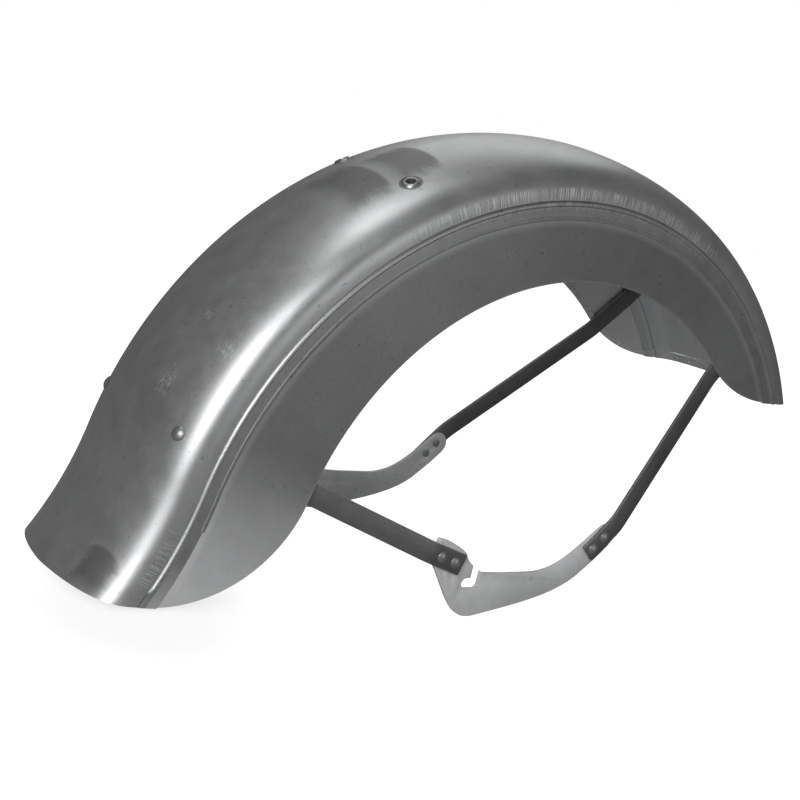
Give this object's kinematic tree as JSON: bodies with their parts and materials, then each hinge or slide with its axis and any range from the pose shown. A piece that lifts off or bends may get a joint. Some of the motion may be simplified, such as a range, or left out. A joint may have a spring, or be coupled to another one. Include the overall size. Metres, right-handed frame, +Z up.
{
  "type": "motorcycle front fender",
  "caption": "Deep-skirted steel front fender with a domed crown, flared tail, flat-bar braces and slotted axle plates",
  "frame": {"origin": "on the wheel axle line, in the middle of the width, which is also the centre of the crown's ridge arc", "axes": "+X forward, +Y to the left side of the bike, +Z up, as the fender sits on the bike"},
  "size_m": [0.7713, 0.274, 0.412],
  "materials": {
    "crown_steel": "raw pressed sheet steel, scuffed and pitted",
    "skirt_steel": "raw sheet steel, matt with fine pits",
    "bar_steel": "raw hot-rolled flat bar, dark",
    "plate_steel": "raw cut steel plate, matt",
    "rivet_steel": "raw hammered steel",
    "boss_steel": "turned steel"
  },
  "bodies": {
    "root": {"crown": "crown_steel", "left_skirt": "skirt_steel", "right_skirt": "skirt_steel", "rear_brace": "bar_steel", "front_brace": "bar_steel", "left_axle_plate": "plate_steel", "right_axle_plate": "plate_steel", "left_rear_rivets": "rivet_steel", "left_front_rivets": "rivet_steel", "right_rear_rivets": "rivet_steel", "right_front_rivets": "rivet_steel", "crown_rivets": "rivet_steel", "left_boss": "boss_steel", "right_boss": "boss_steel"}
  },
  "joints": []
}
